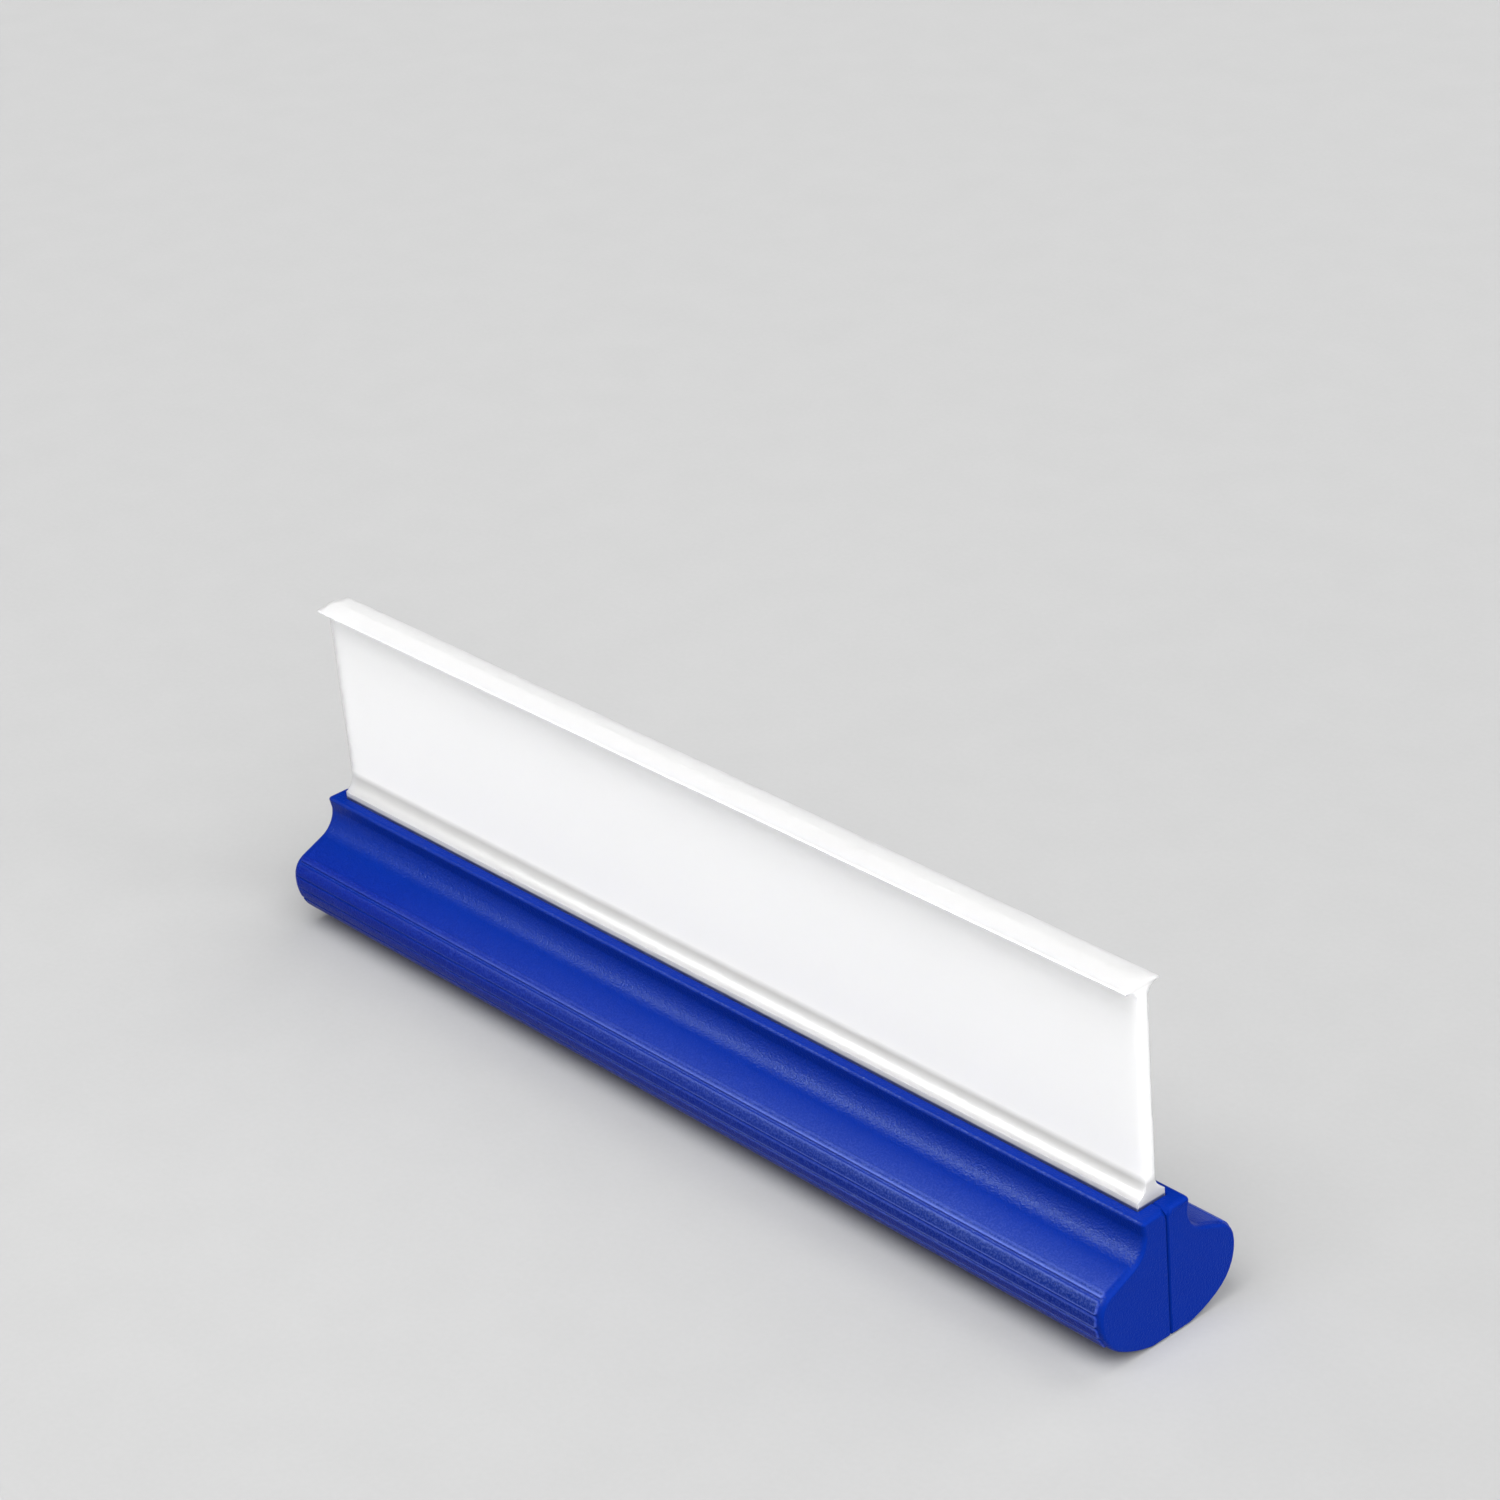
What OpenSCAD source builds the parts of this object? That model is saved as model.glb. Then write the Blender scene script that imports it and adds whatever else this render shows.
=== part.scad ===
// Water-blade squeegee: two moulded handle halves closed round a silicone T-bar blade.
// +X runs along the handle, +Y goes from the front half to the rear half, +Z goes from
// the handle's back up to the blade's tip. The origin is under the middle of the back.

/* [Handle] */
// Length of the handle
handle_l = 305; // [200:1:460]
// Height from the back to the top of the lips
handle_h = 34.5; // [34:0.1:38]
// Half of the handle's greatest thickness
palm_half = 22; // [20.5:0.1:23]
// Height of the thickest place
palm_z = 14.6; // [14:0.1:16]
// Radius of the round back
back_r = 31; // [27:0.5:34]
// Half width of the flat strip that the handle stands on
land_half = 6; // [3:0.5:8]
// Radius of the shoulder under the neck
shoulder_r = 5.9; // [5:0.1:6.5]
// Radius of the hollow neck where the fingers go
neck_r = 7.4; // [6:0.1:8]
// Height of the narrowest place of the neck
neck_z = 30.9; // [30:0.1:31.5]
// Half thickness across the outside of the lips
lip_half = 7.6; // [7.4:0.1:9]
// How much thinner than the lips the neck is, on one side
neck_in = 0.5; // [0.2:0.1:1]
// Radius of the lips' outer edges
lip_edge_r = 1; // [0.5:0.1:1.5]
// Wall of the hollow palm
wall = 2.6; // [2:0.1:3.2]
// Thickness of the closed end walls
end_wall = 4.6; // [3:0.1:6]

/* [Grip] */
// How far the grip strips stand proud
strip_h = 0.4; // [0.2:0.1:0.8]
// Height of the lowest strip's lower edge
strip_z = 6.55; // [6:0.05:7]
// Height from one strip to the next
strip_step = 3.4; // [3.2:0.1:3.6]
// Number of strips on each side
strip_n = 5; // [1:1:5]
// Height of one strip
strip_w = 2.9; // [1:0.1:3.1]
// Height at which the top strip stops on the shoulder
strip_top = 21.2; // [20.6:0.1:21.4]
// Plain margin between the strips and the handle's ends
strip_end = 1.6; // [1:0.1:6]

/* [Blade] */
// Height from the back to the blade's crest
total_h = 92.4; // [80:0.1:110]
// Thickness of the blade's flat web
web_t = 3; // [2:0.1:4]
// Thickness of the root where it fills the slot
root_t = 8.8; // [8:0.1:9.4]
// How far the thick root stands out of the lips
root_out = 1.8; // [1:0.1:3]
// Height over which the root narrows to the web
root_fillet_h = 4.4; // [4:0.1:6]
// Half width of the T-bar
tee_half = 5.3; // [5:0.1:8]
// Thickness of the T-bar's edges
tee_edge_t = 0.6; // [0.4:0.1:1]
// How far the crest stands above the T-bar's edges
tee_crest = 0.8; // [0.2:0.1:1]
// Radius of the hollow under each side of the T-bar
tee_r = 3.2; // [2:0.1:3.4]

/* [Anchor] */
// Thickness of the anchor bead inside the handle
anchor_t = 12.4; // [11:0.1:12.8]
// Height of the anchor bead
anchor_h = 5.6; // [5:0.1:5.8]
// Height of the bead's underside
anchor_z = 20.6; // [20.4:0.1:21]
// Diameter of the pegs that pass through the bead
anchor_peg_d = 4; // [3:0.1:4.2]
// Number of those pegs
anchor_peg_n = 6; // [2:1:8]

/* [Inside] */
// Clearance round the silicone and round the pegs
clear = 0.1; // [0.05:0.05:0.2]
// Thickness of the floor under the anchor bead
floor_t = 2; // [1.5:0.1:2.4]
// Thickness of the cross ribs
rib_t = 1.8; // [1.2:0.1:2.4]
// Diameter of the pegs that join the halves
join_peg_d = 4.4; // [3:0.1:5]
// Diameter of the bosses of those pegs
boss_d = 8.4; // [8:0.1:9]
// Height of those pegs
join_z = 9; // [8:0.1:10]
// Length of a peg past the parting plane
peg_l = 6; // [4:0.5:8]

/* [Hidden] */
blue = [0.08, 0.2, 0.72];
silicone = [0.95, 0.95, 0.96];
eps = 0.02;

// Arc of radius r about c, from angle a0 to a1 in n steps, as points [y, z]
function arc(c, r, a0, a1, n) =
    [for (i = [0 : n]) c + r * [cos(a0 + (a1 - a0) * i / n), sin(a0 + (a1 - a0) * i / n)]];

// Back, side, shoulder and neck are arcs that run into each other without a corner
back_c = [0, sqrt(back_r * back_r - land_half * land_half)];
back_rise = back_c[1] - palm_z;
side_r = (back_r * back_r - palm_half * palm_half - back_rise * back_rise)
    / (2 * (back_r - palm_half));
side_c = [palm_half - side_r, palm_z];
side_start = atan2(palm_z - back_c[1], side_c[0]);
side_end = 10;
shoulder_c = side_c + (side_r - shoulder_r) * [cos(side_end), sin(side_end)];
neck_c = [lip_half - neck_in + neck_r, neck_z];
to_neck = neck_c - shoulder_c;
shoulder_end = atan2(to_neck[1], to_neck[0]) - acos((shoulder_r + neck_r) / norm(to_neck));
lip_c = [lip_half - lip_edge_r, handle_h - lip_edge_r];

// The curved part of one side, grown outward by g
function side_curve(g) = concat(
    arc(back_c, back_r + g, atan2(-back_c[1], land_half), side_start, 14),
    arc(side_c, side_r + g, side_start + 2, side_end, 12),
    arc(shoulder_c, shoulder_r + g, side_end + 6, shoulder_end, 9));

outline = concat(
    [[0, 0]],
    side_curve(0),
    arc(neck_c, neck_r, shoulder_end + 180, 180, 12),
    arc(lip_c, lip_edge_r, 0, 90, 5),
    [[0, handle_h]]);

cavity_top = anchor_z - clear - floor_t;
cavity_l = handle_l - 2 * end_wall;
blade_l = cavity_l - 2 * clear;
slot_half = root_t / 2 + clear;
chamber_half = anchor_t / 2 + clear;
chamber_h = anchor_h + 2 * clear;
anchor_mid = anchor_z + anchor_h / 2;
peg_pitch = cavity_l / anchor_peg_n;
web_half = web_t / 2;
root_top = handle_h + root_out + root_fillet_h;
fillet_in = (root_t - web_t) / 2;
fillet_r = (fillet_in * fillet_in + root_fillet_h * root_fillet_h) / (2 * fillet_in);
hinge_gap = 0.3;
hinge_z = root_top + hinge_gap + web_half;
tee_z = total_h - tee_crest - tee_edge_t - tee_r;

// Both mirror halves of a list of points
function mirrored(p) = concat(p, [for (i = [len(p) - 1 : -1 : 0]) [-p[i][0], p[i][1]]]);

// A profile of points [y, z] drawn out along X
module along_x(p, l) {
    rotate([90, 0, 90])
        translate([0, 0, -l / 2])
            linear_extrude(l)
                polygon(p);
}

// A round bar along Y from y0 to y1
module bar_y(x, z, d, y0, y1) {
    translate([x, y1, z])
        rotate([90, 0, 0])
            cylinder(d = d, h = y1 - y0, $fn = 48);
}

// The grip strips on the +Y side
module grip_strips() {
    intersection() {
        along_x(concat([[land_half, palm_z]], side_curve(strip_h)), handle_l - 2 * strip_end);
        for (i = [0 : strip_n - 1]) {
            low = strip_z + i * strip_step;
            translate([-handle_l / 2, 0, low])
                cube([handle_l, palm_half + 2 * strip_h, min(strip_w, strip_top - low)]);
        }
    }
}

// The hollow of the palm on the +Y side, below the anchor's floor
module palm_hollow() {
    intersection() {
        along_x(concat([[0, wall]], side_curve(-wall), [[0, handle_h]]), cavity_l);
        translate([-handle_l / 2, 0, 0])
            cube([handle_l, palm_half, cavity_top]);
    }
}

// Cross ribs between the pegs, on the +Y side
module ribs() {
    for (i = [1 : anchor_peg_n - 1])
        translate([(i - anchor_peg_n / 2) * peg_pitch - rib_t / 2, clear, wall / 2])
            cube([rib_t, palm_half, cavity_top]);
}

// One half without its pegs, on the +Y side
module half_shell() {
    difference() {
        union() {
            along_x(outline, handle_l);
            grip_strips();
        }
        difference() {
            palm_hollow();
            ribs();
            for (i = [0 : anchor_peg_n - 1])
                bar_y((i - (anchor_peg_n - 1) / 2) * peg_pitch, join_z, boss_d, 0, palm_half);
        }
        translate([-cavity_l / 2, -eps, anchor_z - clear])
            cube([cavity_l, chamber_half + eps, chamber_h]);
        translate([-cavity_l / 2, -eps, anchor_z])
            cube([cavity_l, slot_half + eps, handle_h]);
    }
}

module front_shell() {
    color(blue) {
        mirror([0, 1, 0])
            half_shell();
        for (i = [0 : anchor_peg_n - 1]) {
            x = (i - (anchor_peg_n - 1) / 2) * peg_pitch;
            bar_y(x, join_z, join_peg_d, -eps - 1, peg_l);
            bar_y(x, anchor_mid, anchor_peg_d, -chamber_half - 1, chamber_half + 1.5);
        }
    }
}

module rear_shell() {
    color(blue)
        difference() {
            half_shell();
            for (i = [0 : anchor_peg_n - 1]) {
                x = (i - (anchor_peg_n - 1) / 2) * peg_pitch;
                bar_y(x, join_z, join_peg_d + 2 * clear, -1, peg_l + 0.5);
                bar_y(x, anchor_mid, anchor_peg_d + 2 * clear, 0, chamber_half + 2);
            }
        }
}

module blade_root() {
    side = concat(
        [[anchor_t / 2, anchor_z], [anchor_t / 2, anchor_z + anchor_h],
            [root_t / 2, anchor_z + anchor_h]],
        arc([web_half + fillet_r, root_top], fillet_r,
            180 + asin(root_fillet_h / fillet_r), 180, 10));
    color(silicone)
        difference() {
            along_x(mirrored(side), blade_l);
            for (i = [0 : anchor_peg_n - 1])
                bar_y((i - (anchor_peg_n - 1) / 2) * peg_pitch, anchor_mid,
                    anchor_peg_d + 2 * clear, -anchor_t, anchor_t);
        }
}

module blade_web() {
    color(silicone)
        along_x(mirrored(concat(arc([0, hinge_z], web_half, -90, 0, 8), [[web_half, tee_z]])),
            blade_l);
}

module blade_tee() {
    side = concat(
        arc([web_half + tee_r, tee_z], tee_r, 180, 90, 10),
        [[tee_half, total_h - tee_crest - tee_edge_t], [tee_half, total_h - tee_crest],
            [0, total_h]]);
    color(silicone)
        along_x(mirrored(side), blade_l);
}

front_shell();
rear_shell();
blade_root();
blade_web();
blade_tee();
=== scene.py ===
import math

import bmesh
import bpy
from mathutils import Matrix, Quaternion, Vector, noise


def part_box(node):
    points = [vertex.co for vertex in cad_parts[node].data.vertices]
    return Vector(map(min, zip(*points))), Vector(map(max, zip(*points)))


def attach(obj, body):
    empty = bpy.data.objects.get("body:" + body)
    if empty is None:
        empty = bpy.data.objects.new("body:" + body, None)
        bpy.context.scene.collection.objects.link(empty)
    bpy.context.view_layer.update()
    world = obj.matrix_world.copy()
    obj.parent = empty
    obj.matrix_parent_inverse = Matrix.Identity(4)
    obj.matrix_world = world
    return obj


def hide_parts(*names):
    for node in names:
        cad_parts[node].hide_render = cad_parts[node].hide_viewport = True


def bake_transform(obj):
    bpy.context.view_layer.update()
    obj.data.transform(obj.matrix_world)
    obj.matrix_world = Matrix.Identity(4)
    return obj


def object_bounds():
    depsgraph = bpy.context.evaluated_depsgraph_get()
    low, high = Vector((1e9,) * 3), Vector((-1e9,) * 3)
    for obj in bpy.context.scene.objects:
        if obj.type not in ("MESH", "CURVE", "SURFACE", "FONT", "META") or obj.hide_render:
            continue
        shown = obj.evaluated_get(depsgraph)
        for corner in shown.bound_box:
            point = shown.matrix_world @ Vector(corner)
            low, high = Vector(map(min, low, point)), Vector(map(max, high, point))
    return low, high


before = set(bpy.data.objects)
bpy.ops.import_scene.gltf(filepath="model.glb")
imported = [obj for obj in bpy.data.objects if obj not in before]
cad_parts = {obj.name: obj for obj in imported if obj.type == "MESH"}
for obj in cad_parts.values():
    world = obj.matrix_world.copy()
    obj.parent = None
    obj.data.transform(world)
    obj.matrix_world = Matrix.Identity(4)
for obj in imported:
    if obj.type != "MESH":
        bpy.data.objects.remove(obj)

cad_low, cad_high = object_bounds()
scene = bpy.context.scene


# ---------------------------------------------------------------------------------------
# The view. A long lens looks down on the squeegee from its front right, and the camera is
# tipped a few degrees, so that the handle runs down towards the right.
# ---------------------------------------------------------------------------------------
lens_mm = 98.8
view_azimuth = math.radians(50.7)
view_elevation = math.radians(27.98)
view_distance = 0.9739
view_roll = math.radians(-5.2)
aim = Vector((0.0211, 0.0, cad_high.z + 0.0133))

towards_camera = Vector((
    math.sin(view_azimuth) * math.cos(view_elevation),
    -math.cos(view_azimuth) * math.cos(view_elevation),
    math.sin(view_elevation)))
camera = bpy.data.objects.new("camera", bpy.data.cameras.new("camera"))
camera.data.lens = lens_mm
camera.data.sensor_width = 36
camera.data.clip_end = 50
camera.location = aim + towards_camera * view_distance
camera.rotation_mode = "QUATERNION"
camera.rotation_quaternion = (
    (-towards_camera).to_track_quat("-Z", "Y") @ Quaternion((0, 0, 1), view_roll))
scene.collection.objects.link(camera)
scene.camera = camera
scene.view_settings.view_transform = "Standard"


# ---------------------------------------------------------------------------------------
# The studio. A plain pale sheet of paper under the squeegee and a dim even surround. Soft
# banks hang high in front, towards the right end and behind, with a low card in front. Two
# small cards at the front left only show as a sheen on the handle.
# ---------------------------------------------------------------------------------------
class Wire:
    """An output of a shader node. Sums and products on it add Math nodes."""

    def __init__(self, finish, out):
        self.finish = finish
        self.out = out

    def math(self, operation, first, second):
        return self.finish.node("ShaderNodeMath", {"operation": operation}, {0: first, 1: second})

    def __add__(self, other):
        return self.math("ADD", self, other)

    def __mul__(self, other):
        return self.math("MULTIPLY", self, other)

    __radd__ = __add__
    __rmul__ = __mul__


class Finish:
    """A surface finish: one material, its shader and the nodes that vary it."""

    def __init__(self, name, **shader_values):
        self.material = bpy.data.materials.new(name)
        self.material.use_nodes = True
        self.tree = self.material.node_tree
        self.shader = self.tree.nodes["Principled BSDF"]
        for socket, value in shader_values.items():
            self.shader.inputs[socket.replace("_", " ")].default_value = value

    def node(self, kind, settings=None, inputs=None, out=0):
        made = self.tree.nodes.new(kind)
        for name, value in (settings or {}).items():
            setattr(made, name, value)
        for socket, value in (inputs or {}).items():
            self.feed(made.inputs[socket], value)
        return Wire(self, made.outputs[out])

    def feed(self, socket, value):
        if isinstance(value, Wire):
            self.tree.links.new(value.out, socket)
        else:
            socket.default_value = value

    def paint(self, socket, value):
        """Let value drive one of the shader's own sockets."""
        self.feed(self.shader.inputs[socket], value)

    def place(self):
        """Position on the piece, in metres."""
        return self.node("ShaderNodeTexCoord", out="Object")

    def along(self, axis):
        """Position along X, Y or Z on the piece, in metres."""
        return self.node("ShaderNodeSeparateXYZ", None, {"Vector": self.place()}, out=axis)

    def stored(self, layer):
        """A value that the mesh carries at its points."""
        return self.node("ShaderNodeAttribute", {"attribute_name": layer}, out="Fac")

    def grain(self, size, detail=2.0):
        """Soft noise from 0 to 1 whose lumps are about size metres across."""
        return self.node(
            "ShaderNodeTexNoise", {"noise_dimensions": "3D"},
            {"Vector": self.place(), "Scale": 1 / size, "Detail": detail})

    def spread(self, value, low, high, to_low=0.0, to_high=1.0):
        """value from low..high to to_low..to_high, held at the ends."""
        return self.node(
            "ShaderNodeMapRange", {"clamp": True},
            {"Value": value, "From Min": low, "From Max": high,
             "To Min": to_low, "To Max": to_high})

    def blend_colours(self, factor, first, second):
        return self.node(
            "ShaderNodeMix", {"data_type": "RGBA"},
            {"Factor": factor, "A": (*first, 1), "B": (*second, 1)}, out="Result")

    def blend_wires(self, factor, first, second):
        return self.node(
            "ShaderNodeMix", {"data_type": "RGBA"},
            {"Factor": factor, "A": first, "B": second}, out="Result")

    def bumps(self, height, distance, strength=1.0):
        return self.node(
            "ShaderNodeBump", None,
            {"Height": height, "Distance": distance, "Strength": strength})


def give(piece, finish):
    piece.data.materials.clear()
    piece.data.materials.append(finish.material)


floor_grey = (0.392, 0.392, 0.392)
floor_mottle = 1.03
floor_half = 4.0
surround_strength = 0.1
card_distance = 0.76
card_size = 0.2
sheet_finish = Finish("studio_sheet", Roughness=0.85, Specular_IOR_Level=0.15)
mottle = sheet_finish.grain(0.02) * 0.5 + sheet_finish.grain(0.0016) * 0.5
sheet_finish.paint("Base Color", sheet_finish.blend_colours(
    sheet_finish.spread(mottle, 0.35, 0.65), floor_grey, [c * floor_mottle for c in floor_grey]))

floor_mesh = bpy.data.meshes.new("studio_floor")
floor_mesh.from_pydata(
    [(-floor_half, -floor_half, 0), (floor_half, -floor_half, 0),
     (floor_half, floor_half, 0), (-floor_half, floor_half, 0)], [], [(0, 1, 2, 3)])
floor = bpy.data.objects.new("studio_floor", floor_mesh)
scene.collection.objects.link(floor)
give(floor, sheet_finish)

world = bpy.data.worlds.new("studio_surround")
world.use_nodes = True
world.node_tree.nodes["Background"].inputs["Color"].default_value = (1, 1, 1, 1)
world.node_tree.nodes["Background"].inputs["Strength"].default_value = surround_strength
scene.world = world


def hang_light(name, kind, azimuth, elevation, energy, distance=3.0):
    """A light that faces the squeegee. Azimuth 0 is on the front side, 90 on +X."""
    a, e = math.radians(azimuth), math.radians(elevation)
    out = Vector((math.sin(a) * math.cos(e), -math.cos(a) * math.cos(e), math.sin(e)))
    lamp = bpy.data.objects.new(name, bpy.data.lights.new(name, kind))
    lamp.data.energy = energy
    lamp.location = out * distance
    lamp.rotation_mode = "QUATERNION"
    lamp.rotation_quaternion = (-out).to_track_quat("-Z", "Y")
    scene.collection.objects.link(lamp)
    return lamp


def hang_bank(name, azimuth, elevation, energy, width):
    """A large soft light, width degrees across as the squeegee sees it."""
    hang_light(name, "SUN", azimuth, elevation, energy).data.angle = math.radians(width)


def hang_sheen_card(name, azimuth, elevation, energy):
    """A small square card near the squeegee that shows only in its sheen."""
    card = hang_light(name, "AREA", azimuth, elevation, energy, card_distance)
    card.data.shape = "SQUARE"
    card.data.size = card_size
    card.visible_diffuse = False


hang_bank("front_bank", azimuth=10, elevation=68, energy=2.45, width=40)
hang_bank("right_bank", azimuth=80, elevation=35, energy=3.4, width=60)
hang_bank("back_bank", azimuth=165, elevation=50, energy=0.9, width=40)
hang_bank("front_card", azimuth=-5, elevation=8, energy=0.5, width=30)
hang_sheen_card("low_card", azimuth=-31, elevation=10, energy=3.0)
hang_sheen_card("high_card", azimuth=-36, elevation=39, energy=24.0)


# ---------------------------------------------------------------------------------------
# The handle's two halves. Each is moulded in blue ABS with a fine spark-eroded grain and
# raised grip strips. A painted sheen on the upper strips and painted highlights on the strip
# rims fade out towards the -X end. The halves are welded round the blade's anchor, and their
# softened edges leave a fine groove along the seam.
# ---------------------------------------------------------------------------------------
shell_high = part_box("rear_shell")[1]
half_length = shell_high.x
handle_top = shell_high.z
palm_half = 0.022
palm_z = 0.0146
back_r = 0.031
land_half = 0.006
shoulder_r = 0.0059
shoulder_from = math.radians(10)
neck_r = 0.0074
neck_z = 0.0309
lip_half = 0.0076
neck_in = 0.0005
lip_r = 0.001

slot_half = 0.0047
slot_edge_r = 0.0003
channel_half = 0.0063
channel_low = 0.0205
channel_high = 0.0263
slot_end = half_length - 0.0046

end_round = 0.0014
end_draw = 0.0008
seam_cut = 0.0004
seam_gap = 0.00012
seam_gap_depth = 0.0016
notch = 0.0013
notch_reach = 0.002

strip_low = 0.00655
strip_step = 0.0034
strip_count = 5
strip_tall = 0.0029
strip_top = 0.0212
strip_proud = 0.0004
strip_margin = 0.0016
strip_corner = 0.0008
strip_soft = 0.00022
# Painted highlights along the strip rims: how far in and how wide they lie, and their strength on
# the upper rims.
rim_in = 0.0002
rim_wide = 0.00034
upper_rim_highlight = 0.5
# Where the painted sheen lies on the strips, and where it and the painted rim highlights fade
# along the handle.
sheen_low = 0.0105
sheen_high = 0.017
highlight_fade_start = -0.12
highlight_fade_full = 0.1


def arc(centre, radius, start, end, step):
    """Points (y, z) along an arc, about step metres apart."""
    count = max(2, round(abs(end - start) * radius / step))
    turns = [start + (end - start) * i / count for i in range(count + 1)]
    return [(centre[0] + radius * math.cos(t), centre[1] + radius * math.sin(t)) for t in turns]


def handle_profile():
    """Points and outward directions of the rear half, from the seam below to the slot."""
    fine, coarse = 0.00016, 0.0004
    back_c = (0.0, math.sqrt(back_r ** 2 - land_half ** 2))
    rise = back_c[1] - palm_z
    side_r = (back_r ** 2 - palm_half ** 2 - rise ** 2) / (2 * (back_r - palm_half))
    side_c = (palm_half - side_r, palm_z)
    side_from = math.atan2(palm_z - back_c[1], side_c[0])
    reach = side_r - shoulder_r
    shoulder_c = (side_c[0] + reach * math.cos(shoulder_from),
                  side_c[1] + reach * math.sin(shoulder_from))
    neck_c = (lip_half - neck_in + neck_r, neck_z)
    across, up = neck_c[0] - shoulder_c[0], neck_c[1] - shoulder_c[1]
    shoulder_to = (math.atan2(up, across)
                   - math.acos((shoulder_r + neck_r) / math.hypot(across, up)))
    lip_c = (lip_half - lip_r, handle_top - lip_r)
    edge_c = (slot_half + slot_edge_r, handle_top - slot_edge_r)
    quarter = math.pi / 2
    runs = [
        [(seam_cut, 0.0), (land_half * 0.5, 0.0)],
        arc(back_c, back_r, math.atan2(-back_c[1], land_half), side_from, fine),
        arc(side_c, side_r, side_from, shoulder_from, fine)[1:],
        arc(shoulder_c, shoulder_r, shoulder_from, shoulder_to, fine)[1:],
        arc(neck_c, neck_r, shoulder_to + math.pi, math.pi, coarse),
        arc(lip_c, lip_r, 0, quarter, coarse / 2),
        arc(edge_c, slot_edge_r, quarter, math.pi, slot_edge_r / 2)]
    points = [p for run in runs for p in run]
    outward = []
    for i in range(len(points)):
        a, b = points[max(i - 1, 0)], points[min(i + 1, len(points) - 1)]
        dy, dz = b[0] - a[0], b[1] - a[1]
        size = math.hypot(dy, dz)
        outward.append((dz / size, -dy / size))
    return points, outward


def strip_cover(x, z):
    """How fully a grip strip covers (x, z), and how strongly a painted highlight marks a strip's
    rim there.
    """
    end = half_length - strip_margin
    cover, rim = 0.0, 0.0
    for i in range(strip_count):
        low = strip_low + i * strip_step
        half = (min(low + strip_tall, strip_top) - low) / 2
        corner = min(strip_corner, half)
        over_x = abs(x) - (end - corner)
        over_z = abs(z - low - half) - (half - corner)
        outside = math.hypot(max(over_x, 0), max(over_z, 0)) + min(max(over_x, over_z), 0)
        inside = corner - outside
        depth = min(max(inside / strip_soft + 0.5, 0), 1)
        cover = max(cover, depth * depth * (3 - 2 * depth))
        # Painted highlight: full strength on the lower rims, weaker on the upper rims.
        highlight_share = 1 if z < low + half else upper_rim_highlight
        rim = max(rim, highlight_share * (1 - abs(inside - rim_in) / rim_wide))
    return cover, rim


def handle_stations():
    """Places along the handle: (x, how far the outline draws in there)."""
    round_steps = 5
    fine_step = 0.00025
    middle_count = 25
    half = []
    for i in range(round_steps + 1):
        t = math.pi / 2 * (1 - i / round_steps)
        half.append((half_length - end_round * (1 - math.sin(t)), end_draw * (1 - math.cos(t))))
    x = half_length - end_round
    while x > slot_end + 3 * slot_edge_r:
        x -= fine_step
        half.append((x, 0.0))
    half += [(slot_end + slot_edge_r, 0.0), (slot_end, 0.0)]
    half += [(slot_end * (1 - i / middle_count), 0.0) for i in range(1, middle_count)]
    return [(-x, d) for x, d in half] + [(0.0, 0.0)] + [(x, d) for x, d in reversed(half)]


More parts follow.
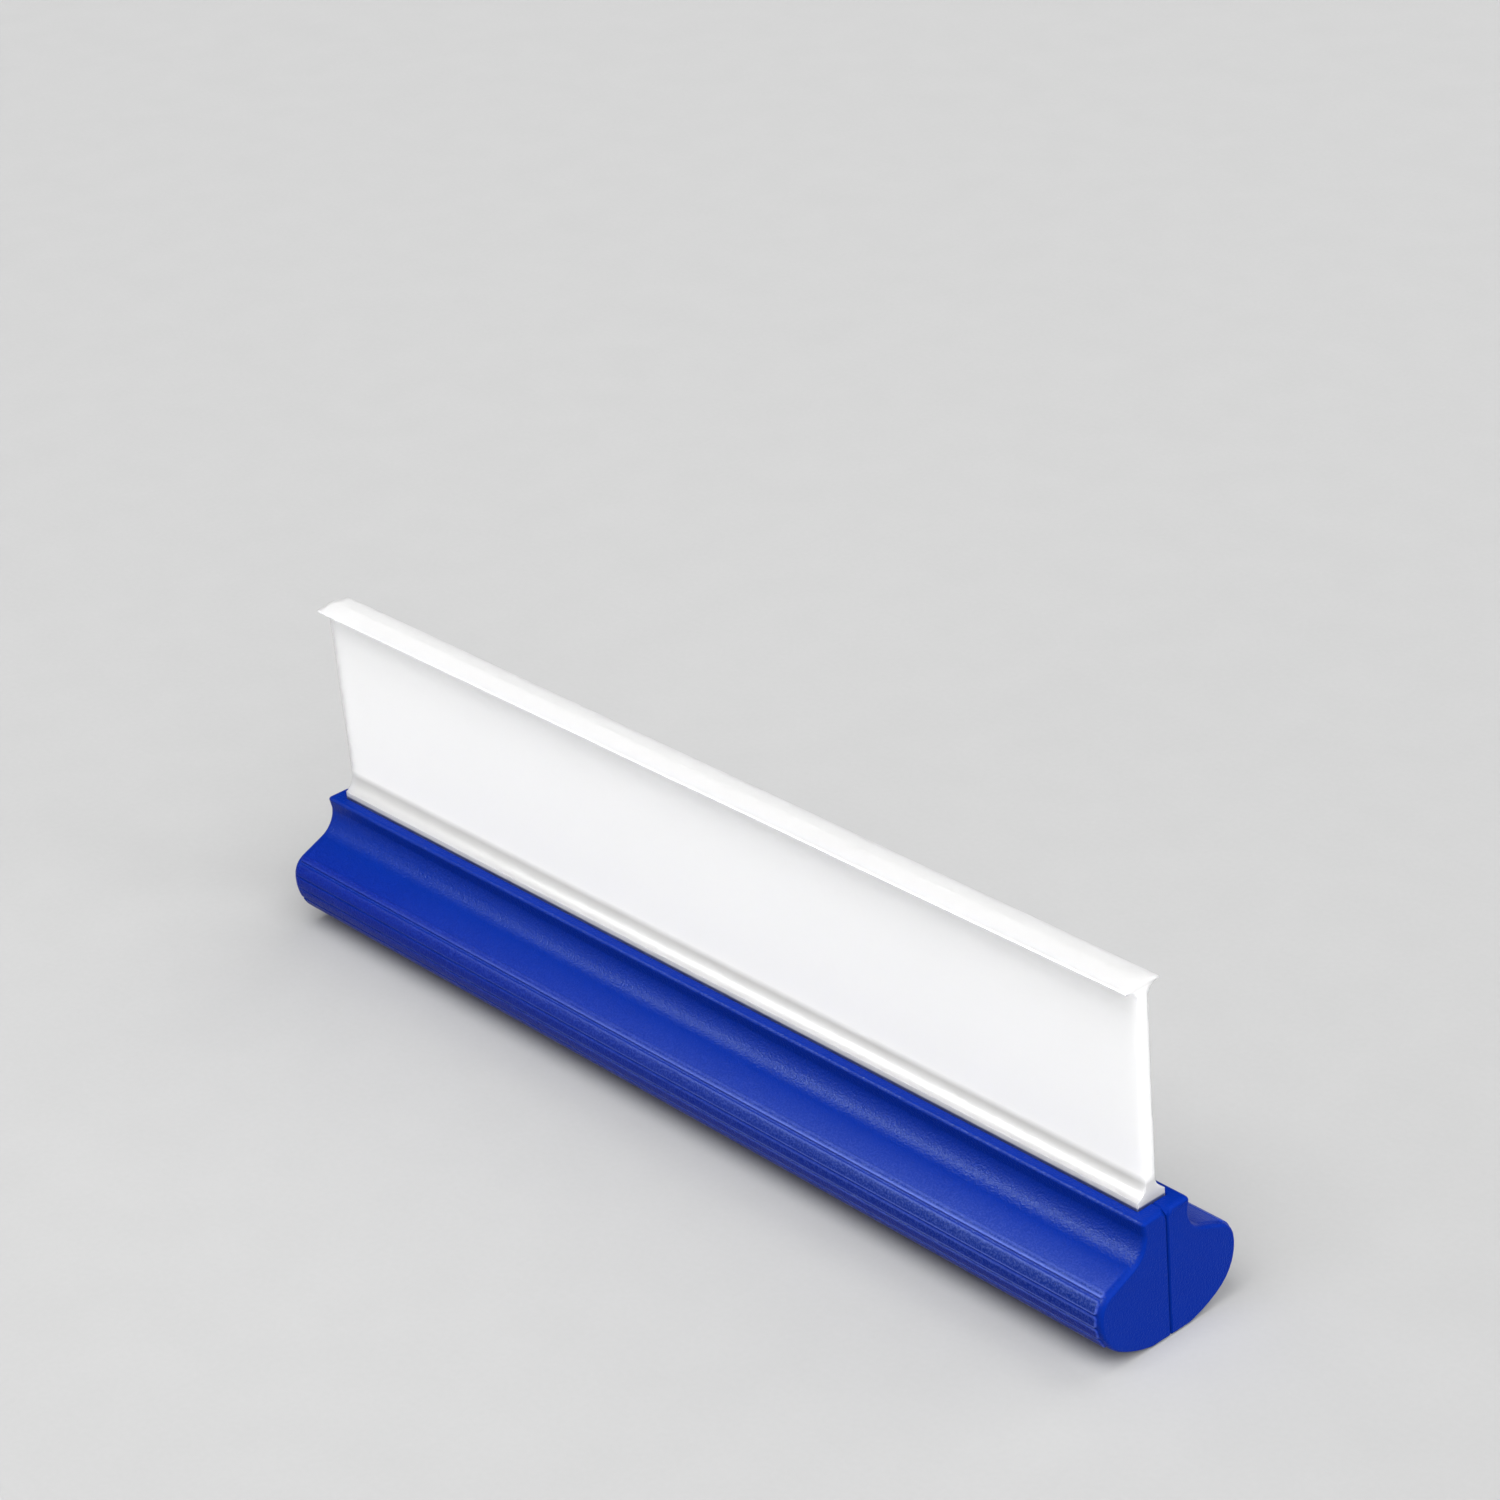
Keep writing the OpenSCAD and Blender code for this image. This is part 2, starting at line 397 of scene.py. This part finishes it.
def build_shell(name, side):
    """One half of the handle, on the +Y side for side = 1 and on the -Y side for -1."""
    points, outward = handle_profile()
    edge_count = 3
    mesh = bmesh.new()
    grip = mesh.verts.layers.float.new("grip")
    # The mesh carries the strength of the painted rim highlights.
    grip_rim_highlight = mesh.verts.layers.float.new("grip_rim_highlight")
    rows = []
    for x, drawn in handle_stations():
        inset = half_length - abs(x)
        seam_y = max(0.0, seam_cut - inset) + seam_gap * (inset < seam_gap_depth)
        nick = notch * max(0.0, 1 - inset / notch_reach)
        at_wall = min(max((abs(x) - slot_end) / slot_edge_r, 0), 1)
        row = {"x": x, "skin": []}
        for i, ((y, z), (ny, nz)) in enumerate(zip(points, outward)):
            cover, rim = strip_cover(x, z) if z < neck_z else (0.0, 0.0)
            if i >= len(points) - edge_count:
                z += (handle_top - z) * at_wall
                ny, nz = 0.0, 1.0
            grow = cover * strip_proud - drawn
            vert = mesh.verts.new((x, side * max(y + ny * grow, seam_y), z + nz * grow))
            vert[grip] = cover
            vert[grip_rim_highlight] = rim
            row["skin"].append(vert)
        top = handle_top - slot_edge_r * (1 - at_wall) - drawn
        row["foot"] = mesh.verts.new((x, side * seam_y, seam_cut + drawn))
        if abs(x) <= slot_end:
            channel = [(slot_half, channel_high), (channel_half, channel_high),
                       (channel_half, channel_low), (0.0, channel_low)]
            row["channel"] = [mesh.verts.new((x, side * y, z)) for y, z in channel]
        if abs(x) >= slot_end:
            row["roof"] = mesh.verts.new((x, side * (max(seam_cut, seam_y) + nick), top))
            row["ridge"] = mesh.verts.new((x, side * seam_y, top - seam_cut - nick))
        rows.append(row)

    def quads(first, second):
        for i in range(len(first) - 1):
            mesh.faces.new((first[i], second[i], second[i + 1], first[i + 1]))

    for a, b in zip(rows, rows[1:]):
        quads([a["foot"]] + a["skin"], [b["foot"]] + b["skin"])
        if "channel" in a and "channel" in b:
            quads([a["skin"][-1]] + a["channel"], [b["skin"][-1]] + b["channel"])
            mesh.faces.new((a["channel"][-1], b["channel"][-1], b["foot"], a["foot"]))
        else:
            quads([a["skin"][-1], a["roof"], a["ridge"]], [b["skin"][-1], b["roof"], b["ridge"]])
            border = [a["ridge"], b["ridge"]]
            if "channel" in b:
                border.append(b["channel"][-1])
            border += [b["foot"], a["foot"]]
            if "channel" in a:
                border.append(a["channel"][-1])
            mesh.faces.new(border)
    for row in rows:
        if "channel" in row and "roof" in row:
            mesh.faces.new([row["skin"][-1], row["roof"], row["ridge"]] + row["channel"][::-1])
    for row in (rows[0], rows[-1]):
        mesh.faces.new(row["skin"] + [row["roof"], row["ridge"], row["foot"]])

    bmesh.ops.remove_doubles(mesh, verts=mesh.verts, dist=1e-7)
    bmesh.ops.recalc_face_normals(mesh, faces=mesh.faces)
    data = bpy.data.meshes.new(name)
    mesh.to_mesh(data)
    mesh.free()
    data.shade_smooth()
    data.set_sharp_from_angle(angle=math.radians(32))
    piece = bpy.data.objects.new(name, data)
    scene.collection.objects.link(piece)
    flat = piece.modifiers.new("even_shading", "WEIGHTED_NORMAL")
    flat.keep_sharp = True
    return piece


handle_finish = Finish(
    "handle_blue_abs", Roughness=0.42, Specular_IOR_Level=0.035, Specular_Tint=(0.6, 0.8, 1, 1))
on_strip = handle_finish.stored("grip")
on_rim_highlight = handle_finish.stored("grip_rim_highlight")
handle_x = handle_finish.along("X")
handle_z = handle_finish.along("Z")
# Painted sheen: the grip strips higher up the side are painted a lighter, grainier blue, fading
# out towards the -X end.
painted_sheen = (handle_finish.spread(handle_z, sheen_low, sheen_high)
          * handle_finish.spread(handle_x, highlight_fade_start, highlight_fade_full, 0, 0.8))
# Painted highlights along the strip rims, weaker towards the -X end.
rim_highlight_mask = on_rim_highlight * handle_finish.spread(handle_x, highlight_fade_start, highlight_fade_full, 0.1, 0.75)
cloud = handle_finish.grain(0.012)
fine_grain = handle_finish.grain(0.0005)
speckle = handle_finish.grain(0.0011, 1.0)
sparkle = handle_finish.spread(fine_grain, 0.45, 0.62)
plain_blue = handle_finish.blend_colours(cloud, (0.0008, 0.0172, 0.225), (0.0012, 0.02, 0.24))
plain_strip_blue = handle_finish.blend_colours(sparkle, (0.0003, 0.01, 0.2), (0.002, 0.017, 0.24))
# The lighter, grainy blue of the painted sheen on the strips.
sheen_strip_blue = handle_finish.blend_colours(sparkle, (0.001, 0.016, 0.165), (0.024, 0.046, 0.225))
# The pale blue of the painted rim highlights.
rim_highlight_blue = (0.09, 0.14, 0.56, 1)
strip_blue = handle_finish.blend_wires(painted_sheen, plain_strip_blue, sheen_strip_blue)
palm_blue = handle_finish.blend_wires(on_strip, plain_blue, strip_blue)
handle_finish.paint("Base Color", handle_finish.blend_wires(rim_highlight_mask, palm_blue, rim_highlight_blue))
handle_finish.paint("Roughness", handle_finish.spread(
    fine_grain * 0.6 + speckle * 0.4, 0.3, 0.7, 0.26, 0.42))
handle_finish.paint("Normal", handle_finish.bumps(speckle * 0.35 + fine_grain, 0.00016))

for node, side in (("front_shell", -1), ("rear_shell", 1)):
    half = build_shell(node + "_moulding", side)
    give(half, handle_finish)
    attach(half, "handle")
    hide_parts(node)


# ---------------------------------------------------------------------------------------
# The blade: one moulding in soft white silicone. A bead inside the handle anchors it, and a
# thick root fills the slot and runs through a hollow curve into the flat web. The web ends
# in a T-bar with two thin wiping edges. Both ends are cut square with a knife.
# ---------------------------------------------------------------------------------------
root_low, root_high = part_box("blade_root")
web_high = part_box("blade_web")[1]
tee_low, tee_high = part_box("blade_tee")
blade_half = web_high.x
web_half = web_high.y
bead_half = root_high.y
bead_top = root_low.z + 0.0056
bead_edge = 0.0006
root_half = 0.0044
root_fillet_h = 0.0044
tee_half = tee_high.y
tee_r = 0.0032
tee_edge = 0.0006
tee_crest = 0.0008
ridge_soft = 0.08
bow_depth = 0.00025
bow_waves = 18
cut_rough = 0.0002
cut_waves = 160
cut_waves_across = 200


def blade_profile():
    """Points (y, z) of one side of the blade, from the bead's underside to the crest."""
    narrowing = root_half - web_half
    fillet_r = (narrowing ** 2 + root_fillet_h ** 2) / (2 * narrowing)
    fillet_from = math.pi + math.asin(root_fillet_h / fillet_r)
    web_steps = 34
    web_top = tee_low.z
    web_span = web_top - root_high.z
    rise = tee_high.z - tee_crest - tee_edge
    points = [(bead_half - bead_edge, root_low.z), (bead_half, root_low.z + bead_edge),
              (bead_half, bead_top - bead_edge / 3), (root_half, bead_top)]
    points += arc((web_half + fillet_r, root_high.z), fillet_r, fillet_from, math.pi, 0.0003)
    points += [(web_half, root_high.z + web_span * i / web_steps) for i in range(1, web_steps)]
    points += arc((web_half + tee_r, web_top), tee_r, math.pi, math.pi / 2, 0.0003)
    points += [(tee_half - tee_edge / 3, rise), (tee_half, rise + tee_edge / 3),
               (tee_half, rise + 2 * tee_edge / 3)]
    crest_steps = 14
    for i in range(crest_steps):
        across = (1 - tee_edge / 3 / tee_half) * (1 - i / crest_steps)
        drop = ((math.hypot(across, ridge_soft) - ridge_soft)
                / (math.hypot(1, ridge_soft) - ridge_soft))
        points.append((tee_half * across, tee_high.z - tee_crest * drop))
    return points


def build_blade():
    """The whole moulding, bowed a little along its length and rough where it was cut."""
    points = blade_profile()
    station_count = 90
    mesh = bmesh.new()
    rows = []
    for i in range(station_count + 1):
        along = 2 * i / station_count - 1
        x = blade_half * along
        row = []
        for y, z in points:
            pair = []
            for side in (1, -1):
                free = max(0.0, (z - root_high.z) / (tee_high.z - root_high.z))
                bow = bow_depth * free * noise.noise(Vector((x * bow_waves, 0, 3.1)))
                cut = 0.0
                if abs(along) == 1:
                    cut = cut_rough * noise.noise(
                        Vector((z * cut_waves, side * y * cut_waves_across, along)))
                pair.append(mesh.verts.new((x + cut, side * y + bow, z)))
            row.append(pair)
        rows.append(row)
    ladder = len(points)
    for a, b in zip(rows, rows[1:]):
        for j in range(ladder - 1):
            mesh.faces.new((a[j][0], b[j][0], b[j + 1][0], a[j + 1][0]))
            mesh.faces.new((a[j][1], a[j + 1][1], b[j + 1][1], b[j][1]))
        mesh.faces.new((a[0][1], b[0][1], b[0][0], a[0][0]))
        mesh.faces.new((a[-1][0], b[-1][0], b[-1][1], a[-1][1]))
    for row in (rows[0], rows[-1]):
        for j in range(ladder - 1):
            mesh.faces.new((row[j][0], row[j + 1][0], row[j + 1][1], row[j][1]))
    bmesh.ops.recalc_face_normals(mesh, faces=mesh.faces)
    data = bpy.data.meshes.new("silicone_blade")
    mesh.to_mesh(data)
    mesh.free()
    data.shade_smooth()
    data.set_sharp_from_angle(angle=math.radians(40))
    piece = bpy.data.objects.new("silicone_blade", data)
    scene.collection.objects.link(piece)
    return piece


silicone_finish = Finish(
    "blade_white_silicone", Roughness=0.42, Specular_IOR_Level=0.3,
    Subsurface_Weight=1.0, Subsurface_Radius=(1.0, 1.0, 1.0), Subsurface_Scale=0.008)
milky = silicone_finish.grain(0.03)
skin = silicone_finish.grain(0.0015)
blade_z = silicone_finish.along("Z")


def milky_tone(colour, lift):
    """A colour that drifts up by lift in soft clouds."""
    return silicone_finish.blend_colours(milky, colour, [c + lift for c in colour])


def below(low, high):
    """1 below the height low, 0 above high."""
    return silicone_finish.spread(blade_z, low, high, 1, 0)


def above(low, high):
    """0 below the height low, 1 above high."""
    return silicone_finish.spread(blade_z, low, high)


# By height, the blade's white carries painted light and shade: the lower web, the T-bar's top
# band and the root are painted greyer, the web under the T-bar lighter, and a painted shadow
# darkens the blade where it leaves the slot.
blade_white = milky_tone((0.955, 0.95, 0.942), 0.01)
for zone, colour, lift in (
        # Painted shade: the web is painted darker towards its foot.
        (below(root_high.z, tee_low.z - 0.01), (0.88, 0.875, 0.87), 0.01),
        # Painted light: the web just under the T-bar and the T-bar are painted lighter.
        (above(tee_low.z - 0.009, tee_low.z + 0.001), (0.99, 0.988, 0.984), 0.005),
        # Painted shade: the T-bar's top band is painted grey.
        (above(tee_high.z - 0.0024, tee_high.z - 0.0014), (0.56, 0.558, 0.556), 0.02),
        # Painted shade: the root and the foot of its hollow curve are painted grey.
        (below(root_high.z - 0.0008, root_high.z + 0.001), (0.46, 0.458, 0.455), 0.02),
        # Painted shadow: a dark blue line where the blade leaves the slot.
        (below(handle_top + 0.0002, handle_top + 0.0006), (0.05, 0.07, 0.2), 0.01)):
    blade_white = silicone_finish.blend_wires(zone, blade_white, milky_tone(colour, lift))
silicone_finish.paint("Base Color", blade_white)
silicone_finish.paint("Roughness", silicone_finish.spread(skin, 0.3, 0.7, 0.36, 0.5))
silicone_finish.paint("Normal", silicone_finish.bumps(skin, 0.00003, 0.5))

blade = build_blade()
give(blade, silicone_finish)
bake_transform(blade)
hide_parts("blade_root", "blade_web", "blade_tee")
